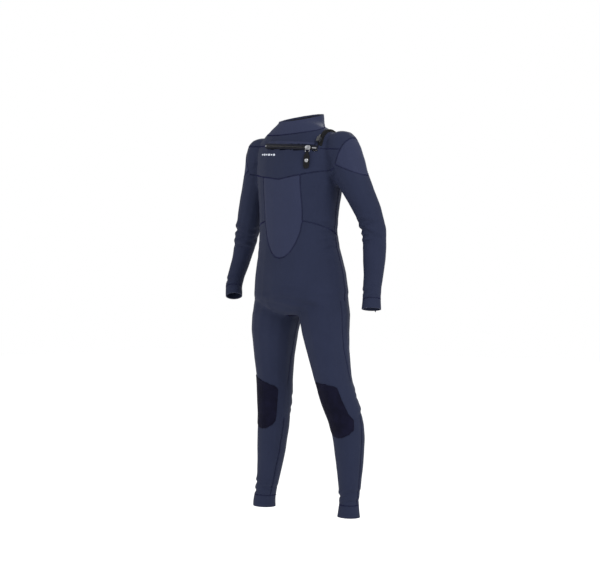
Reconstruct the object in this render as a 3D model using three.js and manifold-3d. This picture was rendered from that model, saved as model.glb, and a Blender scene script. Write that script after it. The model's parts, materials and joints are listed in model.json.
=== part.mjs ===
// Full wetsuit, held up by its neck opening. Millimetres, +Z up, the front of the suit faces -Y,
// and the wearer's left is +X. It is drawn with z = 0 near the ankles and then moved so that the
// origin is the centre of the neck opening.
import * as THREE from "three";
import { mergeVertices } from "three/addons/utils/BufferGeometryUtils.js";
import Module from "manifold-3d";

const wasm = await Module();
wasm.setup();
const { Manifold, Mesh } = wasm;

// driving sizes
const wall = 3.8; // neoprene with its linings
const gap = 0.35; // clearance between neighbouring pieces
const neck = { y: 10, z: 1196, slope: 0.25, seamZ: 1160, seamSlope: 0.3 };
const far = 3000; // size of the blocks that stand for half-spaces

// outlines down the torso: centre x, centre y, height, half-width, half-depth
const torso = [
  [0, 12, 1222, 62, 62],
  [0, 12, 1190, 63, 63],
  [0, 10, 1176, 67, 65],
  [0, 7, 1165, 80, 67],
  [0, 4, 1154, 103, 70],
  [0, 2, 1140, 127, 74],
  [0, 0, 1120, 144, 81],
  [0, 0, 1085, 151, 95],
  [0, 0, 1030, 149, 103],
  [-4, 0, 980, 142, 102],
  [-8, 0, 920, 135, 96],
  [-10, 0, 855, 131, 93],
  [-8, 0, 790, 140, 97],
  [-3, 0, 720, 156, 105],
  [0, 0, 665, 162, 109],
  [0, 0, 632, 144, 100],
  [0, 0, 614, 108, 80],
  [0, 0, 604, 70, 55],
].map(([x, y, z, a, b]) => ({ p: [x, y, z], a, b }));

// limbs: x, y, z and radius at each station, from the body outwards
const round = ([x, y, z, r]) => ({ p: [x, y, z], a: r, b: r });
const limbs = {
  left_arm: [
    [148, 4, 1142, 16],
    [149, 4, 1134, 33],
    [152, 3, 1116, 47],
    [158, 2, 1084, 56],
    [174, 4, 1040, 55],
    [194, 6, 1000, 48],
    [216, 12, 955, 43],
    [233, 28, 905, 40],
    [239, 46, 850, 37],
    [238, 50, 806, 35],
    [240, 46, 765, 33],
    [245, 36, 718, 29],
    [248, 26, 684, 27.5],
    [252, 18, 652, 27],
    [255, 13, 622, 30],
  ].map(round),
  right_arm: [
    [-150, 4, 1142, 16],
    [-150, 4, 1134, 34],
    [-151, 3, 1116, 47],
    [-154, 2, 1084, 53],
    [-163, 1, 1040, 50],
    [-177, 0, 1000, 45],
    [-192, 1, 955, 42],
    [-208, 5, 905, 40],
    [-229, 11, 850, 37],
    [-243, 14, 806, 33],
    [-252, 8, 765, 29],
    [-256, -8, 722, 26],
    [-253, -22, 688, 25],
    [-244, -31, 660, 27],
  ].map(round),
  left_leg: [
    [78, 4, 700, 60],
    [84, 3, 650, 75],
    [90, 2, 600, 76],
    [96, 0, 555, 71],
    [112, -6, 489, 62],
    [137, -16, 420, 55.5],
    [152, -20, 384, 54],
    [168, -21, 348, 52],
    [181, -18, 315, 50],
    [187, -12, 278, 48.5],
    [190, -9, 240, 46.5],
    [192, -8, 178, 41],
    [192, -8, 108, 33],
    [190, -8, 70, 29],
    [189, -8, 42, 31],
    [188, -8, 18, 34.5],
  ].map(round),
  right_leg: [
    [-78, 4, 700, 60],
    [-86, 3, 650, 75],
    [-95, 0, 600, 76],
    [-103, 0, 556, 72],
    [-112, 8, 483, 63],
    [-116, 15, 415, 56.5],
    [-118, 18, 380, 55],
    [-121, 20, 345, 53],
    [-125, 22, 308, 50.5],
    [-129, 24, 265, 49],
    [-140, 26, 186, 44],
    [-152, 26, 111, 36],
    [-161, 25, 68, 33],
    [-167, 25, 38, 34],
    [-168, 25, 13, 36],
  ].map(round),
};
const sides = { torso: 24, arm: 12, leg: 14 };

const paint = (colour, roughness, metalness = 0) =>
  new THREE.MeshStandardMaterial({ color: colour, roughness, metalness });
const materials = {
  neoprene: paint(0x333a4b, 0.9),
  panel: paint(0x3a3f52, 0.9),
  pad: paint(0x1a1b24, 0.8),
  trim: paint(0x101014, 0.7),
  lining: paint(0x22242c, 0.95),
  mark: paint(0xb9bcc6, 0.6),
  label: paint(0xd8d8d4, 0.9),
  thread: paint(0x20222a, 0.6),
  plastic: paint(0x9a9ca4, 0.45),
  metal: paint(0xb8bcc2, 0.3, 0.9),
};

const group = new THREE.Group();
group.name = "full_wetsuit";

const vec = (x, y, z) => new THREE.Vector3(x, y, z);

// a closed solid from corner points and triangles, turned right side out
function solidOf(points, triangles) {
  const corners = new Float32Array(points.flatMap((p) => [p.x, p.y, p.z]));
  const make = (tris) =>
    new Manifold(new Mesh({ numProp: 3, vertProperties: corners, triVerts: new Uint32Array(tris) }));
  let volume = 0;
  for (let i = 0; i < triangles.length; i += 3) {
    const [a, b, c] = [points[triangles[i]], points[triangles[i + 1]], points[triangles[i + 2]]];
    volume += a.dot(b.clone().cross(c));
  }
  return make(volume > 0 ? triangles : [...triangles].reverse());
}

// a three geometry as a solid
function solidFrom(geometry) {
  const bare = geometry.clone();
  bare.deleteAttribute("normal");
  bare.deleteAttribute("uv");
  const joined = mergeVertices(bare, 1e-4);
  const at = joined.attributes.position;
  const points = Array.from({ length: at.count }, (_, i) => vec(at.getX(i), at.getY(i), at.getZ(i)));
  return solidOf(points, Array.from(joined.index.array));
}

// rings of points joined into a closed skin; an open run is capped with a fan at each end
function skin(rings, closed = false) {
  const count = rings[0].length;
  const points = rings.flat();
  const triangles = [];
  const last = closed ? rings.length : rings.length - 1;
  for (let i = 0; i < last; i++) {
    const next = (i + 1) % rings.length;
    for (let j = 0; j < count; j++) {
      const k = (j + 1) % count;
      const [a, b, c, d] = [i * count + j, i * count + k, next * count + k, next * count + j];
      triangles.push(a, b, c, a, c, d);
    }
  }
  if (!closed) {
    for (const [ring, flip] of [[0, true], [rings.length - 1, false]]) {
      const middle = rings[ring].reduce((s, p) => s.add(p), vec(0, 0, 0)).divideScalar(count);
      const centre = points.push(middle) - 1;
      for (let j = 0; j < count; j++) {
        const [a, b] = [ring * count + j, ring * count + ((j + 1) % count)];
        triangles.push(...(flip ? [centre, b, a] : [centre, a, b]));
      }
    }
  }
  return solidOf(points, triangles);
}

// a lofted body whose surface is moved outwards by grow; reach runs its far end on past the opening
function loft(stations, count, grow = 0, reach = 0, reachStart = 0) {
  const at = stations.map((s) => vec(...s.p));
  const rings = stations.map((s, i) => {
    const before = Math.max(i - 1, 0);
    const after = Math.min(i + 1, stations.length - 1);
    const way = at[after].clone().sub(at[before]);
    const run = way.length();
    const along = way.normalize();
    const widening = (stations[after].a + stations[after].b - stations[before].a - stations[before].b) / 2;
    const slope = Math.atan2(widening, run);
    let shift = -grow * Math.sin(slope);
    if (i === stations.length - 1) shift += reach;
    if (i === 0) shift -= reachStart;
    const middle = at[i].clone().addScaledVector(along, shift);
    const across = along.clone().cross(vec(0, -1, 0)).normalize();
    const front = across.clone().cross(along).normalize();
    const out = grow * Math.cos(slope);
    return Array.from({ length: count }, (_, j) => {
      const turn = (2 * Math.PI * (j + 0.5)) / count;
      return middle
        .clone()
        .addScaledVector(across, (s.a + out) * Math.cos(turn))
        .addScaledVector(front, (s.b + out) * Math.sin(turn));
    });
  });
  return skin(rings);
}

// the whole suit as one body, its surface moved outwards by grow
function body(grow, reach = 0) {
  const parts = [loft(torso, sides.torso, grow, 0, reach)];
  for (const [name, stations] of Object.entries(limbs)) {
    const count = name.endsWith("arm") ? sides.arm : sides.leg;
    parts.push(loft(stations, count, grow, reach));
  }
  return parts.reduce((whole, part) => whole.add(part));
}

// everything on the side of a plane that the normal points to
function beyond(normal, offset) {
  const n = vec(...normal).normalize();
  const turn = new THREE.Quaternion().setFromUnitVectors(vec(0, 0, 1), n);
  const block = new THREE.BoxGeometry(far, far, far / 2);
  block.translate(0, 0, far / 4 + offset);
  block.applyQuaternion(turn);
  return solidFrom(block);
}

function box(low, high) {
  const block = new THREE.BoxGeometry(high[0] - low[0], high[1] - low[1], high[2] - low[2]);
  block.translate((low[0] + high[0]) / 2, (low[1] + high[1]) / 2, (low[2] + high[2]) / 2);
  return solidFrom(block);
}

// an outline in x and z, run through along y
function prism(outline, yLow, yHigh) {
  const shape = new THREE.Shape(outline.map(([x, z]) => new THREE.Vector2(x, z)));
  const solid = new THREE.ExtrudeGeometry(shape, { depth: yHigh - yLow, bevelEnabled: false });
  solid.rotateX(Math.PI / 2);
  solid.translate(0, yHigh, 0);
  return solidFrom(solid);
}

// adds one named piece: its largest connected part, so that a sliver left by a cut is dropped
function add(name, solid, material) {
  const mesh = solid.getMesh();
  const count = mesh.numProp;
  const parent = Array.from({ length: mesh.vertProperties.length / count }, (_, i) => i);
  const root = (i) => {
    while (parent[i] !== i) i = parent[i] = parent[parent[i]];
    return i;
  };
  const tris = Array.from(mesh.triVerts);
  const firstAt = new Map();
  for (let i = 0; i < parent.length; i++) {
    const key = mesh.vertProperties.slice(i * count, i * count + 3).join();
    if (firstAt.has(key)) parent[root(i)] = root(firstAt.get(key));
    else firstAt.set(key, i);
  }
  for (let i = 0; i < tris.length; i += 3) {
    parent[root(tris[i])] = root(tris[i + 1]);
    parent[root(tris[i + 2])] = root(tris[i + 1]);
  }
  const sizes = new Map();
  const corner = (i) => vec(...mesh.vertProperties.slice(tris[i] * count, tris[i] * count + 3));
  for (let i = 0; i < tris.length; i += 3) {
    const r = root(tris[i]);
    sizes.set(r, (sizes.get(r) ?? 0) + corner(i).dot(corner(i + 1).cross(corner(i + 2))));
  }
  const largest = [...sizes.entries()].sort((a, b) => b[1] - a[1])[0][0];
  const kept = [];
  for (let i = 0; i < tris.length; i += 3) {
    if (root(tris[i]) === largest) kept.push(tris[i], tris[i + 1], tris[i + 2]);
  }
  const geometry = new THREE.BufferGeometry();
  const points = new Float32Array((mesh.vertProperties.length / count) * 3);
  for (let i = 0; i < points.length; i++) {
    points[i] = mesh.vertProperties[Math.floor(i / 3) * count + (i % 3)];
  }
  geometry.setAttribute("position", new THREE.BufferAttribute(points, 3));
  geometry.setIndex(kept);
  const flat = geometry.toNonIndexed();
  flat.translate(0, -neck.y, -neck.z);
  flat.computeVertexNormals();
  const piece = new THREE.Mesh(flat, material);
  piece.name = name;
  group.add(piece);
}

// the neoprene shell, and the cutting of it into panels
const outer = body(0);
const inner = body(-wall, 25);
let shell = outer.subtract(inner);
const topCut = beyond([0, -neck.slope, 1], (neck.z - neck.slope * neck.y) / Math.hypot(1, neck.slope));
shell = shell.subtract(topCut);

// cuts a panel out of what is left of the shell; region(grow) is the space it fills
function panel(name, region, material = materials.neoprene) {
  add(name, shell.intersect(region(0)), material);
  shell = shell.subtract(region(gap));
}

const plane = (normal, offset) => (grow) => beyond(normal, offset - grow);
const both = (first, second) => (grow) => first(grow).intersect(second(grow));
const through = (normal, point) => {
  const n = vec(...normal).normalize();
  return plane(n.toArray(), n.dot(vec(...point)));
};

// arms
const armhole = { tilt: [0.94, -0.34], offset: -194 };
const cap = { tilt: [0.417, 0.909], offset: 1018 };
const elbow = {
  left_arm: { at: [239, 45, 845], way: [0.03, 0.23, -0.97], half: 42 },
  right_arm: { at: [-231, 12, 843], way: [-0.22, 0.06, -0.97], half: 42 },
};
const cuff = { arm: 30, leg: 36 };

for (const [arm, sign] of [["left_arm", 1], ["right_arm", -1]]) {
  const side = sign > 0 ? "left" : "right";
  const stations = limbs[arm];
  const volume = (grow) => loft(stations, sides.arm, grow + 0.02, 5);
  const outside = plane([sign * armhole.tilt[0], 0, armhole.tilt[1]], armhole.offset);
  const whole = both(volume, outside);
  const above = plane([sign * cap.tilt[0], 0, cap.tilt[1]], cap.offset);
  const { at, way, half } = elbow[arm];
  const end = stations[stations.length - 1].p;
  const beforeEnd = stations[stations.length - 2].p;
  const endWay = vec(...end).sub(vec(...beforeEnd)).normalize();
  const along = vec(...way).normalize();
  const top = vec(...at).addScaledVector(along, -half);
  const bottom = vec(...at).addScaledVector(along, half);
  const cuffTop = vec(...end).addScaledVector(endWay, -cuff.arm);
  panel(`${side}_wrist_cuff`, both(whole, through(endWay.toArray(), cuffTop.toArray())));
  panel(`${side}_forearm_sleeve`, both(whole, through(way, bottom.toArray())));
  panel(`${side}_elbow_panel`, both(whole, through(way, top.toArray())));
  panel(`${side}_shoulder_cap`, both(whole, above), materials.panel);
  panel(`${side}_upper_sleeve`, whole);
  shell = shell.subtract(loft(stations, sides.arm, 1, 5).intersect(outside(gap)));
}

// legs
const crotch = { tilt: [0.3, -0.95], offset: -568 };
const knee = {
  left: { at: [168, -21, 348], way: [0.33, 0.02, -0.94], half: 50, seamY: -8 },
  right: { at: [-121, 20, 346], way: [-0.09, 0.06, -0.99], half: 50, seamY: 14 },
};

for (const [side, sign] of [["left", 1], ["right", -1]]) {
  const { at, way, half, seamY } = knee[side];
  const stations = limbs[`${side}_leg`];
  const inside = (grow) => beyond([sign, 0, 0], -grow);
  const under = plane([sign * crotch.tilt[0], 0, crotch.tilt[1]], crotch.offset);
  const whole = both(inside, under);
  const end = vec(...stations[stations.length - 1].p);
  const endWay = end.clone().sub(vec(...stations[stations.length - 2].p)).normalize();
  const along = vec(...way).normalize();
  const top = vec(...at).addScaledVector(along, -half);
  const bottom = vec(...at).addScaledVector(along, half);
  const cuffTop = end.clone().addScaledVector(endWay, -cuff.leg);
  const front = plane([0, -1, 0], -seamY);
  const lower = both(whole, through(way, bottom.toArray()));
  panel(`${side}_ankle_cuff`, both(whole, through(endWay.toArray(), cuffTop.toArray())));
  panel(`${side}_shin_panel`, both(lower, front));
  panel(`${side}_calf_panel`, lower);
  panel(`${side}_knee_sleeve`, both(whole, through(way, top.toArray())));
  panel(`${side}_thigh_front`, both(whole, front));
  panel(`${side}_thigh_back`, whole);
}

// chest zip, built about a nearly upright axis that it curves around
const zip = {
  centre: [-1.6, 119, 1101.6],
  lean: THREE.MathUtils.degToRad(5.1),
  radius: 216.4,
  from: -17,
  to: 33,
  half: 7.4,
  closedAt: 25.5,
};
const zipTurn = new THREE.Matrix4()
  .makeTranslation(...zip.centre)
  .multiply(new THREE.Matrix4().makeRotationY(zip.lean));
const rad = THREE.MathUtils.degToRad;
const onZip = (radius, degrees, height) =>
  vec(radius * Math.sin(rad(degrees)), -radius * Math.cos(rad(degrees)), height).applyMatrix4(zipTurn);

// a bar of rectangular section bent around the zip's axis
function arcBar(inside, outside, low, high, from, to, steps) {
  const rings = Array.from({ length: steps + 1 }, (_, i) => {
    const angle = from + ((to - from) * i) / steps;
    return [[inside, low], [outside, low], [outside, high], [inside, high]].map(([r, h]) =>
      onZip(r, angle, h));
  });
  return skin(rings);
}

shell = shell.subtract(arcBar(zip.radius - 16, zip.radius + 16, -zip.half, zip.half, zip.from, zip.to, 18));

// torso panels
const neckSeam = plane([0, -neck.seamSlope, 1], neck.seamZ / Math.hypot(1, neck.seamSlope));
const sideSeam = { y: 12, slope: 0.37, z: 852 };
const chestSeam = { z: 1004, rise: 0.16 };
const belly = { half: 70, straightZ: 915, bottomZ: 771 };

const uShape = (grow) => {
  const outline = [[-belly.half - grow, 1100], [-belly.half - grow, belly.straightZ]];
  const steps = 12;
  for (let i = 1; i < steps; i++) {
    const turn = Math.PI + (Math.PI * i) / steps;
    const reach = belly.straightZ - belly.bottomZ;
    outline.push([
      (belly.half + grow) * Math.cos(turn),
      belly.straightZ + (reach + grow) * Math.sin(turn),
    ]);
  }
  outline.push([belly.half + grow, belly.straightZ], [belly.half + grow, 1100]);
  return prism(outline, -far / 4, sideSeam.y);
};
const frontHalf = plane([0, -1, 0], -sideSeam.y);
const chestUp = (grow) => {
  const z = chestSeam.z - grow;
  const rise = 300 * chestSeam.rise;
  return prism([[-300, z + rise], [0, z], [300, z + rise], [300, 1400], [-300, 1400]], -far / 4, far / 4);
};
const aboveZip = (grow) =>
  solidFrom(new THREE.BoxGeometry(far, far, far / 2).translate(0, 0, far / 4 - grow).applyMatrix4(zipTurn));
const sideDown = plane([0, -sideSeam.slope, -1], -sideSeam.z / Math.hypot(1, sideSeam.slope));
const leftHalf = (grow) => beyond([1, 0, 0], -grow);

panel("collar", neckSeam, materials.panel);
panel("crotch_gusset", (grow) => box([-34 - grow, -38 - grow, 500], [34 + grow, 46 + grow, 640]), materials.pad);
panel("upper_chest_panel", both(frontHalf, aboveZip));
panel("chest_panel", both(frontHalf, chestUp));
panel("belly_panel", uShape, materials.panel);
panel("hip_front_panel", both(frontHalf, sideDown));
panel("left_side_panel", both(frontHalf, leftHalf));
panel("right_side_panel", frontHalf);
panel("back_yoke", (grow) => beyond([0, 0, 1], chestSeam.z + 20 - grow));
panel("seat_panel", sideDown);
panel("back_panel", () => box([-500, -500, 0], [500, 500, 1300]));

// pieces that lie on the outside of the shell, or inside it
const overlay = (from, to, region) => body(to).subtract(body(from)).intersect(region);
const seated = (solid) => solid.subtract(body(gap));

// knee pads: slanted at the top, with one soft corner, and round at the lower end
const pad = { half: 43, corner: 14, round: 40, thick: 2.4 };
const pads = {
  left: { topX: 147, lowX: 190, backY: -36, high: 410, low: 400, bottom: 251 },
  right: { topX: -118, lowX: -131, backY: 2, high: 419, low: 390, bottom: 257 },
};
for (const [side, { topX, lowX, backY, high, low, bottom }] of Object.entries(pads)) {
  const { half, corner, round } = pad;
  const outline = [[topX - half, high], [lowX - half, bottom + round]];
  for (let i = 1; i < 8; i++) {
    const turn = Math.PI + (Math.PI * i) / 8;
    outline.push([lowX + half * Math.cos(turn), bottom + round + round * Math.sin(turn)]);
  }
  outline.push(
    [lowX + half, bottom + round],
    [topX + half, low - corner],
    [topX + half - corner / 3, low - corner / 3],
    [topX + half - corner, low],
  );
  add(`${side}_knee_pad`, overlay(gap, pad.thick, prism(outline, -400, backY)), materials.pad);
}

const markShape = prism([[-88, 1078], [-18, 1073], [-18, 1083], [-88, 1088]], -300, 0);
add("chest_mark", overlay(gap, 1, markShape), materials.mark);

const lining = (from, to, region) =>
  body(-wall - from, 25).subtract(body(-wall - to, 25)).intersect(region);
const neckRing = beyond([0, -neck.seamSlope, 1], (neck.seamZ + 4) / Math.hypot(1, neck.seamSlope))
  .subtract(beyond([0, -neck.slope, 1], (neck.z - 5 - neck.slope * neck.y) / Math.hypot(1, neck.slope)));
add("inner_neck_seal", lining(gap, 2.4, neckRing), materials.lining);
const zipRoom = arcBar(zip.radius - 16, zip.radius + 5, -zip.half, zip.half, zip.from - 1, zip.to + 1, 12);
const bibSpace = box([-104, -300, 1016], [104, -20, 1136]);
add("inner_bib", lining(gap + 0.25, 2.6, bibSpace).subtract(zipRoom), materials.lining);
add("care_label", lining(gap, 1.2, box([-16, 0, 1086], [16, 300, 1128])), materials.label);

// zip tapes, teeth, stops
const tapeOut = zip.radius;
add("zip_tape_upper", arcBar(tapeOut - 3, tapeOut, 2.2, 7, zip.from + 0.2, zip.to - 0.2, 14), materials.trim);
add("zip_tape_lower", arcBar(tapeOut - 3, tapeOut, -7, -2.2, zip.from + 0.2, zip.to - 0.2, 14), materials.trim);
add("zip_coil", arcBar(tapeOut - 2.6, tapeOut + 0.8, -1.85, 1.85, zip.from + 2, zip.to - 4.4, 14), materials.thread);
add("zip_stop", arcBar(tapeOut - 2.6, tapeOut + 1, -1.85, 1.85, zip.from + 0.4, zip.from + 1.9, 2), materials.metal);
add("zip_end_box", arcBar(tapeOut - 2.6, tapeOut + 3, -1.85, 1.85, zip.to - 4.2, zip.to - 1, 3), materials.metal);

const weltSpace = arcBar(zip.radius - 16, zip.radius + 16, zip.half + 0.6, zip.half + 7, zip.from, zip.to - 3, 14);
add("zip_welt", overlay(gap, 2.2, weltSpace), materials.panel);

// moves a solid built about the closed slider's own axes: x along the zip, y outwards, z up
const sliderFrame = new THREE.Matrix4()
  .copy(zipTurn)
  .multiply(new THREE.Matrix4().makeRotationZ(rad(zip.closedAt)))
  .multiply(new THREE.Matrix4().makeTranslation(0, -zip.radius, 0));
const place = (geometry) => solidFrom(geometry.applyMatrix4(sliderFrame));
const block = (w, d, h, x, y, z) => new THREE.BoxGeometry(w, d, h).translate(x, y, z);
const rod = (r, length, sidesRound) =>
  new THREE.CylinderGeometry(r, r, length, sidesRound).rotateZ(Math.PI / 2);

// a round wire bent around a closed loop of points
function wireLoop(points, r, around = 6) {
  const curve = new THREE.CatmullRomCurve3(points, true, "catmullrom", 0.2);
  const steps = 22;
  const rings = Array.from({ length: steps }, (_, i) => {
    const p = curve.getPoint(i / steps);
    const t = curve.getTangent(i / steps).normalize();
    const side = vec(0, 1, 0);
    const up = t.clone().cross(side).normalize();
    return Array.from({ length: around }, (_, j) => {
      const turn = (2 * Math.PI * j) / around;
      return p.clone().addScaledVector(side, r * Math.cos(turn)).addScaledVector(up, r * Math.sin(turn));
    });
  });
  return skin(rings.map((ring) => ring.map((p) => p.clone().applyMatrix4(sliderFrame))), true);
}

const slider = { front: -1.3, depth: 3.2, pivotY: -5.9, pivotZ: -1 };
const sliderShape = new THREE.Shape(
  [[-8, -3], [-3, -6], [6, -6], [8, -3], [8, 3], [6, 6], [-3, 6], [-8, 3]].map(([x, z]) => new THREE.Vector2(x, z)));
const sliderPlate = new THREE.ExtrudeGeometry(sliderShape, { depth: slider.depth, bevelEnabled: false })
  .rotateX(Math.PI / 2).translate(0, slider.front, 0);
const post = (z) => place(block(2.6, 3.8, 1.4, 0, slider.front - slider.depth - 1.6, z));
const bridge = place(block(2.6, 1.4, 7.4, 0, slider.front - slider.depth - 3.9, slider.pivotZ));
add("zip_slider", place(sliderPlate).add(post(-4)).add(post(2)).add(bridge), materials.metal);

// the pull ring hangs from the slider's bridge, and its lower bar carries the pull tab
const ring = { half: 6.2, r: 0.85, top: slider.pivotZ, bottom: slider.pivotZ - 12 };
const ringPoints = [
  [-1.4, ring.top], [1.4, ring.top], [ring.half - 1, ring.top - 2.6], [ring.half, ring.top - 6],
  [ring.half, ring.bottom + 1.4], [ring.half - 1.4, ring.bottom], [0, ring.bottom],
  [1.4 - ring.half, ring.bottom], [-ring.half, ring.bottom + 1.4], [-ring.half, ring.top - 6],
  [1 - ring.half, ring.top - 2.6],
].map(([x, z]) => vec(x, slider.pivotY, z));
add("zip_pull_ring", wireLoop(ringPoints, ring.r), materials.metal);

const tab = { wide: 17, length: 48, thick: 2.6, y: -8.3, snapZ: -38 };
const tabShape = new THREE.Shape([
  [-3.6, ring.bottom - 2.4], [3.6, ring.bottom - 2.4], [tab.wide / 2, ring.bottom - 12],
  [tab.wide / 2, ring.bottom - tab.length + 5], [tab.wide / 2 - 4, ring.bottom - tab.length],
  [4 - tab.wide / 2, ring.bottom - tab.length], [-tab.wide / 2, ring.bottom - tab.length + 5],
  [-tab.wide / 2, ring.bottom - 12],
].map(([x, z]) => new THREE.Vector2(x, z)));
const tabPlate = new THREE.ExtrudeGeometry(tabShape, { depth: tab.thick, bevelEnabled: false })
  .rotateX(Math.PI / 2).translate(0, tab.y + tab.thick / 2, 0);
const barAt = (geometry) => place(geometry.translate(0, slider.pivotY, ring.bottom));
const neckOfTab = place(block(7.2, 3, 3.4, 0, tab.y + 0.6, ring.bottom - 2.4));
const knuckle = barAt(rod(2.6, 7.2, 12));
const knuckleHole = barAt(rod(1.25, 12, 12));
const tabBody = place(tabPlate).add(neckOfTab).add(knuckle).subtract(knuckleHole);
add("snap_tab", tabBody, materials.trim);

const lathe = (profile, segments = 14) =>
  new THREE.LatheGeometry(profile.map(([x, y]) => new THREE.Vector2(x, y)), segments).rotateX(Math.PI);
const snapAt = (geometry, y) => place(geometry.translate(0, y, tab.snapZ));
add("snap_cap", snapAt(lathe([[0, 0], [5.6, 0], [5.6, 0.7], [4.4, 1.7], [2, 2.1], [0, 2.2]]), tab.y - 1.3 - gap),
  materials.metal);
const stud = snapAt(lathe([[0, -10], [5, -10], [5, 0], [0, 0]]), tab.y + 1.3 + gap);
add("snap_stud", seated(stud), materials.metal);

// binding and drawcord over the left shoulder, with the cord lock
const strap = { x: 117, half: 4, cordHalf: 1.5, low: 1100, lowBack: 1105 };
const strapSpace = (half, extra) =>
  box([strap.x - half, -200, strap.low + extra], [strap.x + half, 20, 1300])
    .add(box([strap.x - half, 20, strap.lowBack + extra], [strap.x + half, 200, 1300]));
add("shoulder_binding", overlay(gap, 2.3, strapSpace(strap.half, 0)), materials.trim);
add("drawcord", overlay(2.3 + gap, 5, strapSpace(strap.cordHalf, 4)), materials.trim);

const lock = { at: [117, -58.2, 1117], lean: rad(-28), size: [10, 10, 15] };
const lockAt = new THREE.Matrix4()
  .makeTranslation(...lock.at)
  .multiply(new THREE.Matrix4().makeRotationX(lock.lean));
const atLock = (geometry) => solidFrom(geometry.applyMatrix4(lockAt));
const lockBlock = atLock(new THREE.BoxGeometry(...lock.size));
const cordRoom = body(5 + gap).subtract(body(2)).intersect(strapSpace(strap.cordHalf + gap, -20));
const buttonHole = { r: 2.6, depth: 8, y: -1.8 };
const well = atLock(new THREE.CylinderGeometry(buttonHole.r + gap, buttonHole.r + gap, buttonHole.depth, 14)
  .rotateX(Math.PI / 2).translate(0, buttonHole.y, lock.size[2] / 2));
const lockBody = lockBlock.subtract(body(2.3 + gap)).subtract(cordRoom).subtract(well);
add("cord_lock_body", lockBody, materials.plastic);
const button = atLock(new THREE.CylinderGeometry(buttonHole.r, buttonHole.r, 6.6, 14)
  .rotateX(Math.PI / 2).translate(0, buttonHole.y, lock.size[2] / 2 + 3.2));
add("cord_lock_button", button, materials.plastic);

// hang loop on the back of the collar
const loopShape = new THREE.Shape();
loopShape.absellipse(0, 0, 7, 13, -Math.PI / 2, Math.PI / 2, false);
loopShape.absellipse(0, 0, 5.2, 11.2, Math.PI / 2, -Math.PI / 2, true);
const loopBand = new THREE.ExtrudeGeometry(loopShape, { depth: 8, bevelEnabled: false, curveSegments: 10 })
  .rotateX(Math.PI / 2).rotateZ(Math.PI / 2).translate(4, 73.2, 1184);
add("hang_loop", seated(solidFrom(loopBand)), materials.trim);

export default group;
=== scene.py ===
import json
import math
import bpy
import numpy as np
from mathutils import Matrix, Vector, noise
from mathutils.bvhtree import BVHTree


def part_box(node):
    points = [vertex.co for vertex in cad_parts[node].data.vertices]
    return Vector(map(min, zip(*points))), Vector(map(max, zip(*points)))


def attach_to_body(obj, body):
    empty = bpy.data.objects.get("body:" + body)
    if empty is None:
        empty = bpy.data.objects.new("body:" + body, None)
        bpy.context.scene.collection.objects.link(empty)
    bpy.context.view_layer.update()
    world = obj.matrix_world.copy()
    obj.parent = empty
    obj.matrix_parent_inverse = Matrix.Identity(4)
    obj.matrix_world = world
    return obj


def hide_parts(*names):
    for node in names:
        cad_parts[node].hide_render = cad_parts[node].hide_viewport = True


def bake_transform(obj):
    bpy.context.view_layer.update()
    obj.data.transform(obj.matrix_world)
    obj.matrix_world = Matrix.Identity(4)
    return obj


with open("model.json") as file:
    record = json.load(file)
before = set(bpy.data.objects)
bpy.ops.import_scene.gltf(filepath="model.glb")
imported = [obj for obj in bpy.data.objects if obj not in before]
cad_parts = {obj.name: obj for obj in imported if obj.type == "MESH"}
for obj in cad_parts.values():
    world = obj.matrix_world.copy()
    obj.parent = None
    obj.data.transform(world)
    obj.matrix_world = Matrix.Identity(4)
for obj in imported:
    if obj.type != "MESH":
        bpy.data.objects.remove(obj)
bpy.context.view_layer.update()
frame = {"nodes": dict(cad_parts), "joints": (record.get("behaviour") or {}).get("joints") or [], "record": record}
mm = 0.001
record = frame["record"]
mounts = {m["name"]: m for m in record["mounts"]}
joints = {j["name"]: j for j in frame["joints"]}
bodyOf = {n: body for body, names in record["behaviour"]["bodies"].items() for n in names}
slotOf = {s["node"]: s["material_slot"] for s in record["subparts"]}
print("frame loaded:", len(frame["nodes"]), "nodes")


# small helpers

def addObject(name, data):
    obj = bpy.data.objects.new(name, data)
    bpy.context.scene.collection.objects.link(obj)
    return obj


def pointAlong(obj, way):
    obj.rotation_mode = "QUATERNION"
    obj.rotation_quaternion = way.to_track_quat("-Z", "Y")


def pick(*objs):
    if bpy.context.object and bpy.context.object.mode != "OBJECT":
        bpy.ops.object.mode_set(mode="OBJECT")
    bpy.ops.object.select_all(action="DESELECT")
    for o in objs:
        o.select_set(True)
    bpy.context.view_layer.objects.active = objs[0]


def editMesh(obj, operator, **settings):
    pick(obj)
    bpy.ops.object.mode_set(mode="EDIT")
    bpy.ops.mesh.select_all(action="SELECT")
    operator(**settings)
    bpy.ops.object.mode_set(mode="OBJECT")


def joined(objs, name):
    pick(*objs)
    bpy.ops.object.join()
    obj = bpy.context.object
    obj.name = name
    return obj


def applyAll(obj):
    pick(obj)
    for mod in list(obj.modifiers):
        bpy.ops.object.modifier_apply(modifier=mod.name)


def freeze(obj):
    pick(obj)
    bpy.ops.object.transform_apply(location=True, rotation=True, scale=True)


def duplicate(obj, name):
    new = obj.copy()
    new.data = obj.data.copy()
    new.name = name
    new.data.name = name
    bpy.context.scene.collection.objects.link(new)
    return new


def cadCopy(node, name):
    new = duplicate(frame["nodes"][node], name)
    new.parent = None
    new.matrix_world = Matrix.Identity(4)
    for key in list(new.keys()):
        del new[key]
    new.data.materials.clear()
    editMesh(new, bpy.ops.mesh.remove_doubles, threshold=0.01 * mm)
    return new


def vertexData(obj, what):
    values = np.zeros(len(obj.data.vertices) * 3)
    obj.data.vertices.foreach_get(what, values)
    return values.reshape(-1, 3)


def coordsOf(obj):
    return vertexData(obj, "co")


def normalsOf(obj):
    return vertexData(obj, "normal")


def setCoords(obj, co):
    obj.data.vertices.foreach_set("co", co.reshape(-1))
    obj.data.update()


def boxCentre(node):
    lo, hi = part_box(node)
    return (lo + hi) / 2


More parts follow.
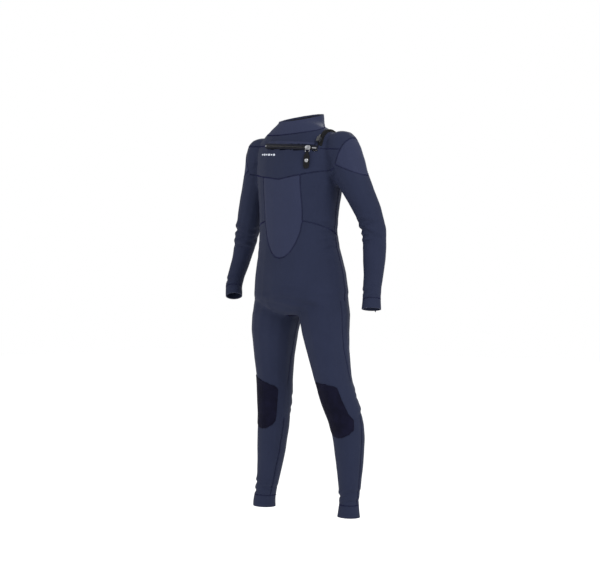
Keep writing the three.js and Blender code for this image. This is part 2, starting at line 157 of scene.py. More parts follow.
def jointPoint(joint):
    return Vector(joints[joint]["pos_m"])


def treeOf(nodes):
    verts, faces, owner = [], [], []
    for i, name in enumerate(nodes):
        mesh = frame["nodes"][name].data
        start = len(verts)
        verts += [v.co.copy() for v in mesh.vertices]
        for p in mesh.polygons:
            faces.append([start + k for k in p.vertices])
            owner.append(i)
    return BVHTree.FromPolygons(verts, faces), owner


def smoothShade(obj, angle):
    pick(obj)
    bpy.ops.object.shade_smooth_by_angle(angle=math.radians(angle))


def bevel(obj, width, segments, angle):
    mod = obj.modifiers.new("bevel", "BEVEL")
    mod.width = width
    mod.segments = segments
    mod.limit_method = "ANGLE"
    mod.angle_limit = math.radians(angle)
    applyAll(obj)


def thicken(obj, thickness, offset=-1.0):
    mod = obj.modifiers.new("thick", "SOLIDIFY")
    mod.thickness = thickness
    mod.offset = offset
    mod.use_even_offset = False
    applyAll(obj)


def subdivide(obj, levels):
    mod = obj.modifiers.new("finer", "SUBSURF")
    mod.levels = levels
    applyAll(obj)


def paint(obj, look):
    obj.data.materials.clear()
    obj.data.materials.append(materials[look])


# camera

camera = {
    "azimuth": 40,
    "distance": 4.2,
    "lens": 84,
    "sensor": 36,
    "clip": 60,
    "aside": -0.009,
    "depth": -0.010,
    "height": -0.527,
}


def makeCamera():
    turn = math.radians(camera["azimuth"])
    back = Vector((math.sin(turn), -math.cos(turn), 0))
    right = Vector((math.cos(turn), math.sin(turn), 0))
    aside = camera["aside"] - right.y * camera["depth"]
    aim = Vector((0, camera["depth"], camera["height"])) + right * aside
    data = bpy.data.cameras.new("camera")
    data.lens = camera["lens"]
    data.sensor_width = camera["sensor"]
    data.clip_end = camera["clip"]
    obj = addObject("camera", data)
    obj.location = aim + back * camera["distance"]
    pointAlong(obj, -back)
    bpy.context.scene.camera = obj


makeCamera()


# materials

even = (1, 1, 1)


def newMaterial(name):
    mat = bpy.data.materials.new(name)
    mat.use_nodes = True
    return mat, mat.node_tree.nodes, mat.node_tree.links, mat.node_tree.nodes["Principled BSDF"]


def setInputs(node, values):
    for name, value in values.items():
        node.inputs[name].default_value = value


def addNode(nodes, kind, values):
    node = nodes.new(kind)
    setInputs(node, values)
    return node


def addTexture(nodes, links, kind, stretch, values):
    coord = nodes.new("ShaderNodeTexCoord")
    mapping = addNode(nodes, "ShaderNodeMapping", {"Scale": stretch})
    links.new(coord.outputs["Object"], mapping.inputs["Vector"])
    texture = addNode(nodes, kind, values)
    links.new(mapping.outputs["Vector"], texture.inputs["Vector"])
    return texture


def addBands(nodes, links, direction, stretch, values):
    bands = addTexture(nodes, links, "ShaderNodeTexWave", stretch, values)
    bands.wave_type = "BANDS"
    bands.bands_direction = direction
    return bands


def addRamp(nodes, stops):
    ramp = nodes.new("ShaderNodeValToRGB")
    for element, (position, colour) in zip(ramp.color_ramp.elements, stops):
        element.position = position
        element.color = (*colour, 1)
    return ramp


def addMath(nodes, operation, factor=None):
    node = nodes.new("ShaderNodeMath")
    node.operation = operation
    if factor is not None:
        node.inputs[1].default_value = factor
    return node


def addBump(nodes, links, shader, height, strength, distance):
    bump = addNode(nodes, "ShaderNodeBump", {"Strength": strength, "Distance": distance})
    links.new(height, bump.inputs["Height"])
    links.new(bump.outputs["Normal"], shader.inputs["Normal"])


cloth = {
    "wear": 0.35,
    "ribSpread": 6.3,
    "courseSpread": 5,
    "grainShare": 0.5,
    "fibreLight": 0.18,
    "depth": 0.6 * mm,
}


def fabricMaterial(name, colour, light, knit=900, bump=0.25):
    mat, nodes, links, shader = newMaterial(name)
    # broad uneven dye and rubbed areas
    broad = addTexture(nodes, links, "ShaderNodeTexNoise", even, {"Scale": 9, "Detail": 5, "Roughness": 0.6})
    worn = [c + (l - c) * cloth["wear"] for c, l in zip(colour, light)]
    ramp = addRamp(nodes, [(0.3, colour), (0.75, worn)])
    links.new(broad.outputs["Fac"], ramp.inputs["Fac"])
    # the knit: fine ribs crossed by finer ones
    ribs = addBands(nodes, links, "X", (1, 1, 0.15),
                    {"Scale": knit / cloth["ribSpread"], "Distortion": 1.5, "Detail": 1})
    courses = addBands(nodes, links, "Z", (0.15, 0.15, 1),
                       {"Scale": knit / cloth["courseSpread"], "Distortion": 1})
    knitMix = addMath(nodes, "MULTIPLY")
    links.new(ribs.outputs["Fac"], knitMix.inputs[0])
    links.new(courses.outputs["Fac"], knitMix.inputs[1])
    grain = addTexture(nodes, links, "ShaderNodeTexNoise", even, {"Scale": 260, "Detail": 2})
    height = addMath(nodes, "MULTIPLY_ADD", cloth["grainShare"])
    links.new(grain.outputs["Fac"], height.inputs[0])
    links.new(knitMix.outputs[0], height.inputs[2])
    addBump(nodes, links, shader, height.outputs[0], bump, cloth["depth"])
    # fibres catch a little light between the ribs
    mix = nodes.new("ShaderNodeMix")
    mix.data_type = "RGBA"
    mix.inputs["B"].default_value = (*light, 1)
    fade = addMath(nodes, "MULTIPLY", cloth["fibreLight"])
    links.new(knitMix.outputs[0], fade.inputs[0])
    links.new(fade.outputs[0], mix.inputs["Factor"])
    links.new(ramp.outputs["Color"], mix.inputs["A"])
    links.new(mix.outputs["Result"], shader.inputs["Base Color"])
    setInputs(shader, {
        "Roughness": 0.82,
        "Sheen Weight": 0.04,
        "Sheen Roughness": 0.5,
        "Sheen Tint": (*light, 1),
        "Specular IOR Level": 0.2,
    })
    return mat


padLook = {"scuffed": 1.9, "bump": 0.35, "depth": 0.5 * mm}


def padMaterial(name, colour):
    mat, nodes, links, shader = newMaterial(name)
    # a fine hexagon-like print on the hard-wearing pad
    cells = addTexture(nodes, links, "ShaderNodeTexVoronoi", even, {"Scale": 330, "Randomness": 0.15})
    cells.feature = "DISTANCE_TO_EDGE"
    step = addRamp(nodes, [(0.05, (0, 0, 0)), (0.2, (1, 1, 1))])
    links.new(cells.outputs["Distance"], step.inputs["Fac"])
    scuff = addTexture(nodes, links, "ShaderNodeTexNoise", even, {"Scale": 34, "Detail": 6})
    tone = addRamp(nodes, [(0.35, colour), (0.8, [c * padLook["scuffed"] for c in colour])])
    links.new(scuff.outputs["Fac"], tone.inputs["Fac"])
    links.new(tone.outputs["Color"], shader.inputs["Base Color"])
    addBump(nodes, links, shader, step.outputs["Color"], padLook["bump"], padLook["depth"])
    setInputs(shader, {"Roughness": 0.7, "Specular IOR Level": 0.05})
    return mat


hardLook = {"uneven": 0.12, "bump": 0.1, "depth": 0.2 * mm}


def hardMaterial(name, colour, rough, metallic=0.0):
    mat, nodes, links, shader = newMaterial(name)
    scratch = addTexture(nodes, links, "ShaderNodeTexNoise", (1, 1, 0.2), {"Scale": 700, "Detail": 4})
    spread = addNode(nodes, "ShaderNodeMapRange",
                     {"To Min": rough - hardLook["uneven"], "To Max": rough + hardLook["uneven"]})
    links.new(scratch.outputs["Fac"], spread.inputs["Value"])
    links.new(spread.outputs["Result"], shader.inputs["Roughness"])
    setInputs(shader, {"Base Color": (*colour, 1), "Metallic": metallic})
    addBump(nodes, links, shader, scratch.outputs["Fac"], hardLook["bump"], hardLook["depth"])
    return mat


# for cloth: the base colour, then a lighter colour used for rubbed spots and for the painted highlight where
# fibres catch light
materials = {
    "neoprene": fabricMaterial("navy neoprene", (0.0070, 0.0104, 0.0288), (0.0145, 0.0195, 0.047)),
    "panel": fabricMaterial("navy stretch panel", (0.0125, 0.0165, 0.0410), (0.022, 0.027, 0.060)),
    "lining": fabricMaterial("dark lining", (0.005, 0.0055, 0.008), (0.012, 0.013, 0.017), 600),
    "pad": padMaterial("black knee pad", (0.0026, 0.0026, 0.0085)),
    "trim": fabricMaterial("black webbing", (0.0015, 0.0015, 0.002), (0.006, 0.006, 0.008), 1400, 0.5),
    "label": fabricMaterial("white label", (0.6, 0.6, 0.57), (0.72, 0.72, 0.7), 1800),
    "mark": hardMaterial("pale print", (0.55, 0.58, 0.66), 0.55),
    "thread": fabricMaterial("blue thread", (0.008, 0.009, 0.045), (0.016, 0.018, 0.08), 2600),
    "teeth": hardMaterial("nylon teeth", (0.006, 0.006, 0.008), 0.42),
    "plastic": hardMaterial("dark plastic", (0.014, 0.015, 0.018), 0.4),
    "metal": hardMaterial("satin steel", (0.30, 0.305, 0.32), 0.34, 1.0),
    "tape": fabricMaterial("navy zip tape", (0.0035, 0.004, 0.0085), (0.009, 0.010, 0.018), 1400, 0.4),
}
print("materials made")


# the suit's outer form, made from the CAD panels and closed with stubs at the hems

shellNodes = [
    "collar", "upper_chest_panel", "chest_panel", "belly_panel", "left_side_panel", "right_side_panel",
    "hip_front_panel", "crotch_gusset", "back_yoke", "back_panel", "seat_panel",
]
for side in ("left", "right"):
    shellNodes += [f"{side}_{part}" for part in (
        "shoulder_cap", "upper_sleeve", "elbow_panel", "forearm_sleeve", "wrist_cuff",
        "thigh_front", "thigh_back", "knee_sleeve", "shin_panel", "calf_panel", "ankle_cuff")]

zipNodes = ["zip_tape_upper", "zip_tape_lower", "zip_coil", "zip_stop", "zip_end_box"]

form = {
    "wall": 3.6 * mm,
    "stub": 26 * mm,
    "overlap": 1.5 * mm,
    "rimBand": 0.2 * mm,
    "firstVoxel": 1.9 * mm,
    "voxel": 4.0 * mm,
    "smoothing": 14,
    "swell": 0.5 * mm,
    "plump": 2.2 * mm,
}
rims = {
    "collar": "collar_rim",
    "left_wrist_cuff": "left_wrist_rim",
    "right_wrist_cuff": "right_wrist_rim",
    "left_ankle_cuff": "left_ankle_rim",
    "right_ankle_cuff": "right_ankle_rim",
}


def rimEdge(node):
    mount = mounts[rims[node]]
    axis = Vector(mount["axis"]).normalized()
    at = Vector(mount["pos_m"])
    verts = frame["nodes"][node].data.vertices
    return [v.co for v in verts if abs((v.co - at).dot(axis)) < form["rimBand"]], axis


def rimPlace(node):
    edge, axis = rimEdge(node)
    co = np.array(edge)
    centre = Vector((co.min(0) + co.max(0)) / 2)
    radius = max((p - centre).length for p in edge)
    return centre, axis, radius


def remesh(obj, size):
    mod = obj.modifiers.new("remesh", "REMESH")
    mod.mode = "VOXEL"
    mod.voxel_size = size
    mod.adaptivity = 0
    applyAll(obj)


def smooth(obj, times):
    mod = obj.modifiers.new("smooth", "SMOOTH")
    mod.factor = 0.5
    mod.iterations = times
    applyAll(obj)


def makeStub(node):
    edge, axis = rimEdge(node)
    points = [p - axis * form["overlap"] for p in edge] + [p + axis * form["stub"] for p in edge]
    mesh = bpy.data.meshes.new(f"stub_{node}")
    mesh.from_pydata(points, [], [])
    stub = addObject(f"stub_{node}", mesh)
    editMesh(stub, bpy.ops.mesh.convex_hull)
    return stub


def makeForm():
    copies = [cadCopy(n, f"form_{n}") for n in shellNodes + zipNodes]
    copies += [makeStub(node) for node in rims]
    # plumped a little, so that the gaps at the seams close, and drawn in again afterwards
    for copy in copies:
        setCoords(copy, coordsOf(copy) + normalsOf(copy) * form["plump"])
    obj = joined(copies, "form")
    obj.data.materials.clear()
    remesh(obj, form["firstVoxel"])
    editMesh(obj, bpy.ops.mesh.separate, type="LOOSE")
    parts = list(bpy.context.selected_objects)
    parts.sort(key=lambda o: -sum(o.dimensions))
    for extra in parts[1:]:
        bpy.data.objects.remove(extra)
    obj = parts[0]
    remesh(obj, form["voxel"])
    smooth(obj, form["smoothing"])
    setCoords(obj, coordsOf(obj) + normalsOf(obj) * (form["swell"] - form["plump"]))
    return obj


formObj = makeForm()
print("form made:", len(formObj.data.polygons), "faces")


# each face belongs to the panel it lies nearest to, and the edges between panels follow the seams

borders = {"stubReach": 1.3, "hemReach": 1.5, "farthest": 6 * mm}
noPanel = -1
rimPlaces = [rimPlace(node) for node in rims]
panelTrees = [treeOf([name])[0] for name in shellNodes]


def labelFaces(obj):
    tree, owner = treeOf(shellNodes + zipNodes)
    labels = np.zeros(len(obj.data.polygons), int)
    for p in obj.data.polygons:
        nearest = owner[tree.find_nearest(p.center)[2]]
        labels[p.index] = nearest if nearest < len(shellNodes) else noPanel
        for centre, axis, radius in rimPlaces:
            off = p.center - centre
            if off.dot(axis) > 0 and off.length < radius * borders["stubReach"] + form["stub"]:
                labels[p.index] = noPanel
    return labels


def borderSets(obj, labels):
    touching = [set() for _ in obj.data.vertices]
    for p in obj.data.polygons:
        for v in p.vertices:
            touching[v].add(int(labels[p.index]))
    return {i: s for i, s in enumerate(touching) if len(s) > 1}


def hemSpot(here):
    centre, axis, radius = min(rimPlaces, key=lambda r: (r[0] - here).length)
    if (here - centre).length < radius * borders["hemReach"]:
        return here - axis * (here - centre).dot(axis)
    return here


def seamSpot(here, normal, owners):
    found = []
    for k in owners:
        spot, _, _, distance = panelTrees[k].find_nearest(here)
        found.append((distance, k, spot))
    found.sort(key=lambda f: f[0])
    near = found[0][1]
    farSpot = found[-1][2]
    across = panelTrees[near].find_nearest(farSpot)[0]
    shift = (farSpot + across) / 2 - here
    shift -= normal * shift.dot(normal)
    return here + shift if shift.length < borders["farthest"] else here


def snapBorders(obj, labels):
    co = coordsOf(obj)
    normals = normalsOf(obj)
    for i, owners in borderSets(obj, labels).items():
        here = Vector(co[i])
        co[i] = hemSpot(here) if noPanel in owners else seamSpot(here, Vector(normals[i]), owners)
    setCoords(obj, co)


labels = labelFaces(formObj)
snapBorders(formObj, labels)
print("panels found:", len(set(labels.tolist())))


# folds and unevenness of soft neoprene

creasing = 2.0
# half length, depth and width of each kind of fold, in mm
foldKinds = {
    "elbowFront": (27, 2.4, 5.5),
    "elbowSide": (20, 1.6, 5),
    "kneeBack": (30, 2.8, 6),
    "kneeSide": (24, 2.2, 6),
    "ankle": (34, 1.5, 4.5),
    "wrist": (24, 1.4, 4),
    "groin": (52, 2.6, 9),
    "underGroin": (38, 1.8, 8),
    "armpit": (34, 2.0, 6.5),
    "leftWaist": (38, 2.2, 8),
    "rightWaist": (34, 1.9, 8),
    "hips": (62, 1.8, 9),
    "lowerBack": (70, 1.8, 9),
}
foldLifts = {
    "elbow": (-26, -11, 3, 18, 32),
    "knee": (-34, -18, -3, 13, 29),
}
foldShape = {"wander": 0.12, "fade": 1.1, "ridge": 0.55, "ridgeAway": 1.9, "ridgeWidth": 1.3}
uneven = {"broad": 1.3, "broadScale": 11, "fine": 0.5, "fineScale": 34, "hemReach": 1.4, "hemFade": 12 * mm}
up = (0, 0, 1)


def planFolds():
    folds = []

    def fold(kind, at, along, across=up, longer=0):
        half, depth, width = foldKinds[kind]
        folds.append((Vector(at), Vector(along).normalized(), Vector(across).normalized(),
                      (half + longer) * mm, depth * creasing * mm, width * mm))

    # places are offsets in metres from a joint or from the middle of a piece
    for side, sign in (("left", 1), ("right", -1)):
        elbow = jointPoint(f"{side}_elbow_bend")
        for k, lift in enumerate(foldLifts["elbow"]):
            tilt = 0.35 * math.sin(k * 2.1 + sign)
            fold("elbowFront", elbow + Vector((0, -0.033, lift * mm)), (1, 0.2, tilt), longer=4 * (k % 2))
            fold("elbowSide", elbow + Vector((-0.033 * sign, 0, lift * mm * 0.8)), (0.2, 1, tilt))
        knee = jointPoint(f"{side}_knee_bend")
        for k, lift in enumerate(foldLifts["knee"]):
            tilt = 0.3 * math.sin(k * 1.7 + sign * 2)
            fold("kneeBack", knee + Vector((0, 0.05, lift * mm)), (1, -0.2, tilt), longer=6 * (k % 2))
        fold("kneeSide", knee + Vector((0.035 * sign, 0.022, -0.03)), (0.3, 0.7, 0.35 * sign))
        ankle = boxCentre(f"{side}_ankle_cuff")
        wrist = boxCentre(f"{side}_wrist_cuff")
        for k in range(3):
            turn = (-1) ** k
            fold("ankle", ankle + Vector((0.02 * sign * turn, -0.02, 0.030 + 0.013 * k)), (1, 0.3, 0.12))
            fold("wrist", wrist + Vector((0.015 * turn, -0.015, 0.026 + 0.012 * k)), (1, 0.2, 0.2))
        hip = boxCentre(f"{side}_thigh_front")
        fold("groin", hip + Vector((0, -0.055, 0.118)), (1, 0, -0.28 * sign))
        fold("underGroin", hip + Vector((0.012 * sign, -0.06, 0.099)), (1, 0, -0.42 * sign))
        # pulled fabric from the armpit over the chest and upper arm
        cap = boxCentre(f"{side}_shoulder_cap")
        pit = Vector((0.148 * sign, -0.035, cap.z - 0.055))
        for k in range(3):
            along = (1, -0.35 * sign, 0.55 + 0.25 * k)
            fold("armpit", pit + Vector((0, 0.003 * k, 0.018 * k)), along, across=(0.5, 0, -1))
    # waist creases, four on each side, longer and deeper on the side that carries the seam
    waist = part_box("belly_panel")[0].z + 0.03
    for k in range(4):
        z = waist + 0.022 * k
        fold("leftWaist", (0.120, -0.020, z), (0.35, 0.9, 0.25 - 0.12 * k))
        fold("rightWaist", (-0.130, -0.020, z - 0.01), (-0.35, 0.9, 0.2 - 0.1 * k))
    for k in range(3):
        fold("hips", (0.015 - 0.02 * k, -0.1, -0.522 - 0.019 * k), (1, 0, 0.10 - 0.1 * k))
        fold("lowerBack", (0.01 * k, 0.092, -0.30 + 0.022 * k), (1, 0, 0.06))
    return folds


def foldPush(co, at, along, across, half, depth, width):
    off = co - np.array(at)
    s = off @ np.array(along)
    across = across - along * across.dot(along)
    across.normalize()
    t = off @ np.array(across)
    third = off - np.outer(s, along) - np.outer(t, across)
    depthAway = np.linalg.norm(third, axis=1)
    t = t + foldShape["wander"] * s * np.sin(s / half)
    reach = np.exp(-((s / half) ** 2)) * np.exp(-((depthAway / (half * foldShape["fade"])) ** 2))
    valley = np.exp(-((t / width) ** 2))
    ridge = np.exp(-(((t - foldShape["ridgeAway"] * width) / (foldShape["ridgeWidth"] * width)) ** 2))
    return reach * (-depth * valley + foldShape["ridge"] * depth * ridge)


def addFolds():
    co = coordsOf(formObj)
    normals = normalsOf(formObj)
    push = np.zeros(len(co))
    for fold in planFolds():
        push += foldPush(co, *fold)
    # slow unevenness, so that no stretch of the suit is a perfect surface
    for i, p in enumerate(co):
        spot = Vector(p)
        push[i] += (uneven["broad"] * mm * noise.noise(spot * uneven["broadScale"])
                    + uneven["fine"] * mm * noise.noise(spot * uneven["fineScale"]))
    # keep the hems flat
    for centre, axis, radius in rimPlaces:
        off = co - np.array(centre)
        along = np.abs(off @ np.array(axis))
        near = np.linalg.norm(off, axis=1) < radius * uneven["hemReach"]
        push[near] *= np.clip(along[near] / uneven["hemFade"], 0, 1)
    setCoords(formObj, co + normals * push[:, None])


addFolds()
print("folds made")


# seams: where each one runs, and whether it is stitched

stitchedPairs = [
    ("collar", "*"),
    ("belly_panel", "*"),
    ("chest_panel", "*_side_panel"),
    ("chest_panel", "back_yoke"),
    ("upper_chest_panel", "back_yoke"),
    ("upper_chest_panel", "chest_panel"),
    ("*_side_panel", "back_panel"),
    ("*_side_panel", "hip_front_panel"),
    ("back_yoke", "back_panel"),
    ("back_panel", "seat_panel"),
    ("hip_front_panel", "seat_panel"),
    ("shoulder_cap", "*"),
    ("upper_sleeve", "*_chest"),
    ("thigh_front", "thigh_back"),
    ("shin_panel", "calf_panel"),
    ("crotch_gusset", "*"),
    ("wrist_cuff", "*"),
    ("ankle_cuff", "*"),
]


def fits(name, pattern):
    return pattern.strip("*") in name


def isStitched(a, b):
    return any((fits(a, x) and fits(b, y)) or (fits(b, x) and fits(a, y)) for x, y in stitchedPairs)


def seamEdges(obj, labels):
    owner = {}
    for p in obj.data.polygons:
        for key in p.edge_keys:
            owner.setdefault(key, []).append(int(labels[p.index]))
    groups = {}
    for key, both in owner.items():
        if len(both) == 2 and both[0] != both[1] and noPanel not in both:
            groups.setdefault(tuple(sorted(both)), []).append(key)
    return groups


def edgeKey(a, b):
    return min(a, b), max(a, b)


def chains(edges):
    links = {}
    for a, b in edges:
        links.setdefault(a, []).append(b)
        links.setdefault(b, []).append(a)
    used, found = set(), []
    # the loose ends first, so that an open seam is one chain
    for start in [v for v, n in links.items() if len(n) != 2] + list(links):
        for first in links[start]:
            if edgeKey(start, first) in used:
                continue
            chain = [start, first]
            used.add(edgeKey(start, first))
            while len(links[chain[-1]]) == 2:
                here = chain[-1]
                ahead = [n for n in links[here] if edgeKey(here, n) not in used]
                if not ahead:
                    break
                used.add(edgeKey(here, ahead[0]))
                chain.append(ahead[0])
            found.append(chain)
    return found


stitch = {
    "pitch": 2.6 * mm,
    "half": 2.1 * mm,
    "radius": 0.42 * mm,
    "lift": 0.25 * mm,
    "groove": 0.9 * mm,
    "smoothing": 3,
    "fewest": 6,
}


def pressSeams(obj, groups):
    normals = normalsOf(obj)
    co = coordsOf(obj)
    deep = set()
    for (a, b), edges in groups.items():
        if isStitched(shellNodes[a], shellNodes[b]):
            for key in edges:
                deep.update(key)
    for i in deep:
        co[i] -= normals[i] * stitch["groove"]
    setCoords(obj, co)


def smoothLine(points, times):
    line = [p.copy() for p in points]
    closed = (line[0] - line[-1]).length < mm * mm
    for _ in range(times):
        new = [p.copy() for p in line]
        for i in range(1, len(line) - 1):
            new[i] = (line[i - 1] + line[i] * 2 + line[i + 1]) / 4
        if closed and len(line) > 3:
            new[0] = (line[-2] + line[0] * 2 + line[1]) / 4
            new[-1] = new[0].copy()
        line = new
    return line


def resample(points, step):
    out = [points[0].copy()]
    left = step
    for a, b in zip(points, points[1:]):
        length = (b - a).length
        at = left
        while at <= length:
            out.append(a.lerp(b, at / length))
            at += step
        left = at - length
    return out


def tubeAlong(name, lines, radius, roundness, look):
    data = bpy.data.curves.new(name, "CURVE")
    data.dimensions = "3D"
    data.bevel_depth = radius
    data.bevel_resolution = roundness
    data.use_fill_caps = True
    for line in lines:
        spline = data.splines.new("POLY")
        spline.points.add(len(line) - 1)
        for point, spot in zip(spline.points, line):
            point.co = (*spot, 1)
    pick(addObject(name, data))
    bpy.ops.object.convert(target="MESH")
    obj = bpy.context.object
    obj.name = name
    paint(obj, look)
    return obj


seamGroups = seamEdges(formObj, labels)
pressSeams(formObj, seamGroups)
print("seams:", sum(isStitched(shellNodes[a], shellNodes[b]) for a, b in seamGroups))

surface = BVHTree.FromObject(formObj, bpy.context.evaluated_depsgraph_get())


def zigzag(line):
    points = resample(smoothLine(line, stitch["smoothing"]), stitch["pitch"] / 2)
    spots = []
    for i, p in enumerate(points):
        way = points[min(i + 1, len(points) - 1)] - points[max(i - 1, 0)]
        side = way.cross(surface.find_nearest(p)[1]).normalized()
        edge = p + side * stitch["half"] * (1 if i % 2 else -1)
        spot, normal, _, _ = surface.find_nearest(edge)
        spots.append(spot + normal * stitch["lift"])
    return spots


def makeThreads():
    byBody = {}
    co = [v.co.copy() for v in formObj.data.vertices]
    for (a, b), edges in seamGroups.items():
        names = (shellNodes[a], shellNodes[b])
        if not isStitched(*names):
            continue
        owners = [bodyOf[n] for n in names]
        body = "suit" if "suit" in owners else owners[0]
        for chain in chains(edges):
            byBody.setdefault(body, []).append([co[i] for i in chain])
    for body, seams in byBody.items():
        lines = [line for line in map(zigzag, seams) if len(line) >= stitch["fewest"]]
        if lines:
            threads = tubeAlong(f"seam_thread_{body}", lines, stitch["radius"], 0, "thread")
            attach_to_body(threads, body)


makeThreads()
print("threads made")


# panels cut out of the form

def cutPanels():
    made = {}
    src = duplicate(formObj, "cut")
    src.data.materials.clear()
    for name in shellNodes:
        src.data.materials.append(bpy.data.materials.new(f"cut_{name}"))
    src.data.materials.append(bpy.data.materials.new("cut_stub"))
    slots = np.where(labels == noPanel, len(shellNodes), labels)
    src.data.polygons.foreach_set("material_index", slots.astype(np.int32))
    editMesh(src, bpy.ops.mesh.separate, type="MATERIAL")
    for part in list(bpy.context.selected_objects):
        index = part.data.polygons[0].material_index
        label = part.data.materials[index].name.removeprefix("cut_")
        if label == "stub":
            bpy.data.objects.remove(part)
            continue
        part.name = f"soft_{label}"
        made[label] = part
    return made


# pieces that sit across a joint, listed with a body, the joint, a half length and the pieces above and below it;
# they are kept in place in the world, not attached to a body
elbowFlex = {"body": "forearm", "joint": "elbow_bend", "half": 42 * mm,
             "above": "upper_sleeve", "below": "forearm_sleeve"}
kneeFlex = {"body": "shin", "joint": "knee_bend", "half": 50 * mm,
            "above": "thigh_front", "below": "shin_panel"}
flex = {"elbow_panel": elbowFlex, "knee_sleeve": kneeFlex, "knee_pad": kneeFlex}


def attach(obj, node):
    side, _, piece = node.partition("_")
    if piece in flex:
        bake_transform(obj)
    else:
        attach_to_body(obj, bodyOf[node])


panels = cutPanels()
for label, obj in panels.items():
    paint(obj, slotOf[label])
    thicken(obj, form["wall"])
    smoothShade(obj, 50)
    attach(obj, label)
    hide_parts(label)
print("panels cut:", len(panels))


# patches: pieces that lie on the suit's skin or line its inside

patchFit = {"reach": 20 * mm, "onPiece": 0.8 * mm, "farthest": 8 * mm}


def deleteFaces(obj, unwanted):
    for p, drop in zip(obj.data.polygons, unwanted):
        p.select = drop
    pick(obj)
    bpy.context.tool_settings.mesh_select_mode = (False, False, True)
    bpy.ops.object.mode_set(mode="EDIT")
    bpy.ops.mesh.delete(type="FACE")
    bpy.ops.object.mode_set(mode="OBJECT")


def facesAwayFrom(node, tree, obj):
    lo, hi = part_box(node)
    low = np.array(lo) - patchFit["reach"]
    high = np.array(hi) + patchFit["reach"]
    away = []
    for p in obj.data.polygons:
        c = np.array(p.center)
        outside = (c < low).any() or (c > high).any()
        away.append(bool(outside or tree.find_nearest(p.center)[3] > patchFit["reach"]))
    return away


def keptPoints(before, obj):
    places = {tuple(np.round(p, 7)): i for i, p in enumerate(before)}
    return sorted(places[tuple(np.round(p, 7))] for p in coordsOf(obj))


def patch(node, name, lift, thickness, cuts):
    tree, _ = treeOf([node])
    obj = duplicate(formObj, name)
    deleteFaces(obj, facesAwayFrom(node, tree, obj))
    if cuts:
        subdivide(obj, cuts)
    co = coordsOf(obj)
    normals = normalsOf(obj)
    aside = np.zeros_like(co)
    away = np.zeros(len(co))
    for i in range(len(co)):
        here = Vector(co[i])
        normal = Vector(normals[i])
        shift = tree.find_nearest(here)[0] - here
        shift -= normal * shift.dot(normal)
        aside[i] = shift
        away[i] = shift.length
    inside = away < patchFit["onPiece"]
    deleteFaces(obj, [not any(inside[v] for v in p.vertices) for p in obj.data.polygons])
    # the delete keeps the order of the points that stay, so the shifts still belong to them
    left = keptPoints(co, obj)
    newCo = coordsOf(obj)
    move = (away[left] > patchFit["onPiece"]) & (away[left] < patchFit["farthest"])
    newCo[move] += aside[left][move]
    newCo += normals[left] * lift
    setCoords(obj, newCo)
    thicken(obj, thickness, 1.0)
    return obj


patches = {
    "left_knee_pad": {"lift": 0.1, "thick": 1.9, "cuts": 1, "bevel": 0.7},
    "right_knee_pad": {"lift": 0.1, "thick": 1.9, "cuts": 1, "bevel": 0.7},
    "zip_welt": {"lift": 0.1, "thick": 1.8, "cuts": 2, "bevel": 0.5},
    "shoulder_binding": {"lift": 0.1, "thick": 1.9, "cuts": 2, "bevel": 0.4},
    "inner_neck_seal": {"lift": -6.2, "thick": 2.0, "cuts": 0, "bevel": 0.5},
    "inner_bib": {"lift": -6.6, "thick": 2.2, "cuts": 0, "bevel": 0.5},
    "care_label": {"lift": -5.2, "thick": 0.6, "cuts": 1, "bevel": 0.1},
}


def makePatches():
    for node, spec in patches.items():
        obj = patch(node, f"soft_{node}", spec["lift"] * mm, spec["thick"] * mm, spec["cuts"])
        bevel(obj, spec["bevel"] * mm, 2, 50)
        paint(obj, slotOf[node])
        smoothShade(obj, 50)
        attach(obj, node)
        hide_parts(node)
    print("patches made")


makePatches()


# hardware, kept on the CAD pieces' places with worked edges

hardware = {
    "zip_tape_upper": ("tape", 0.3),
    "zip_tape_lower": ("tape", 0.3),
    "zip_stop": ("metal", 0.3),
    "zip_end_box": ("metal", 0.4),
    "zip_slider": ("metal", 0.45),
    "zip_pull_ring": ("metal", 0),
    "snap_tab": ("trim", 0.5),
    "snap_cap": ("metal", 0.15),
    "snap_stud": ("metal", 0.15),
    "hang_loop": ("trim", 0.35),
    "cord_lock_body": ("plastic", 0.9),
    "cord_lock_button": ("plastic", 0.5),
}


def makeHardware():
    for node, (look, edge) in hardware.items():
        obj = cadCopy(node, f"fine_{node}")
        editMesh(obj, bpy.ops.mesh.dissolve_limited, angle_limit=math.radians(1))
        if node == "zip_pull_ring":
            subdivide(obj, 1)
        if edge:
            bevel(obj, edge * mm, 3, 30)
        paint(obj, look)
        smoothShade(obj, 40)
        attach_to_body(obj, bodyOf[node])
        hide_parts(node)


makeHardware()
print("hardware made")


# the zip's teeth

zipTeeth = {
    "pitch": 1.9,
    "size": (1.25, 3.4, 3.3),
    "proud": 0.1,
    "stagger": 0.3,
    "edge": 0.3,
}


